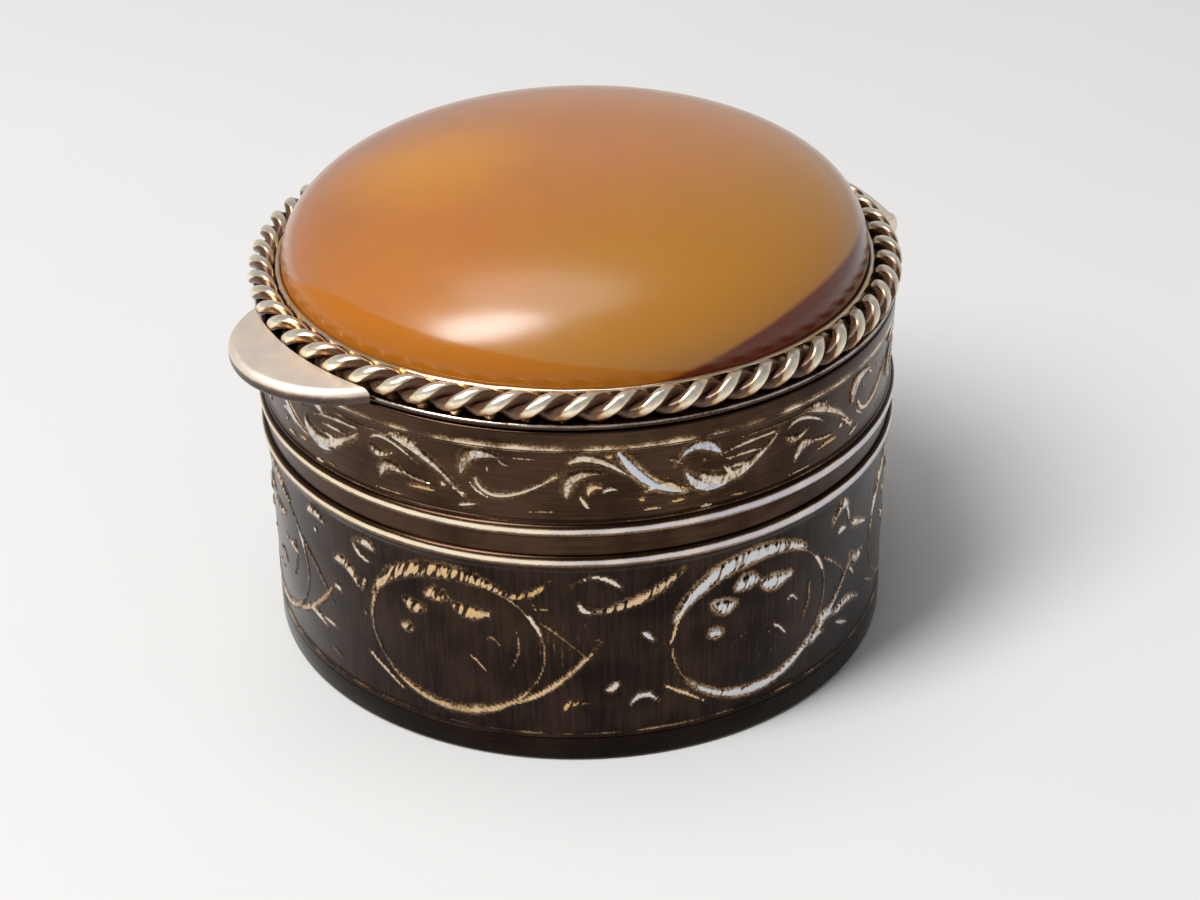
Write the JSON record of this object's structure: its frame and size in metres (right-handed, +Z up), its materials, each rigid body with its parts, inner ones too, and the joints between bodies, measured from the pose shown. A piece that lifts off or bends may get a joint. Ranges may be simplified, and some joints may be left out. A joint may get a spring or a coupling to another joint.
{
  "type": "lidded pill box",
  "caption": "Round hinged silver pill box with engraved sides and an agate cabochon set in its lid inside a twisted wire border.",
  "frame": {"origin": "middle of the flat underside, on the surface the box stands on", "axes": "+Z up through the stone's middle, -Y towards the thumbpiece, +Y towards the hinge, X along the hinge pin"},
  "size_m": [0.0406, 0.046, 0.0314],
  "materials": {
    "dark_silver": "silver with a dark warm-brown patina, polished on the high spots, engraved",
    "bright_silver": "polished silver with a faint golden tone and dark patina in the hollows",
    "satin_silver": "smooth satin silver, worn by handling",
    "pin_metal": "drawn wire, ends rounded over",
    "setting_cement": "matt brown setting cement",
    "agate": "polished honey-amber agate with soft banding"
  },
  "bodies": {
    "box_body": {"base_plate": "dark_silver", "body_wall": "dark_silver", "lower_bead": "bright_silver", "upper_bead": "bright_silver", "body_hinge_bearer": "satin_silver", "hinge_pin": "pin_metal", "body_knuckle_1": "satin_silver", "body_knuckle_2": "satin_silver", "body_knuckle_3": "satin_silver"},
    "lid": {"lid_plate": "dark_silver", "lid_snap_ring": "satin_silver", "lid_hinge_flange": "satin_silver", "thumbpiece": "satin_silver", "stone_bedding": "setting_cement", "agate_cabochon": "agate", "stone_collar": "bright_silver", "rope_wire_1": "bright_silver", "rope_wire_2": "bright_silver", "lid_knuckle_1": "satin_silver", "lid_knuckle_2": "satin_silver"}
  },
  "joints": [
    {"name": "lid_hinge", "type": "hinge", "parent": "box_body", "child": "lid", "pos_m": [0, 0.02125, 0.02175], "axis": [-1, 0, 0], "range_deg": [0, 105]}
  ]
}
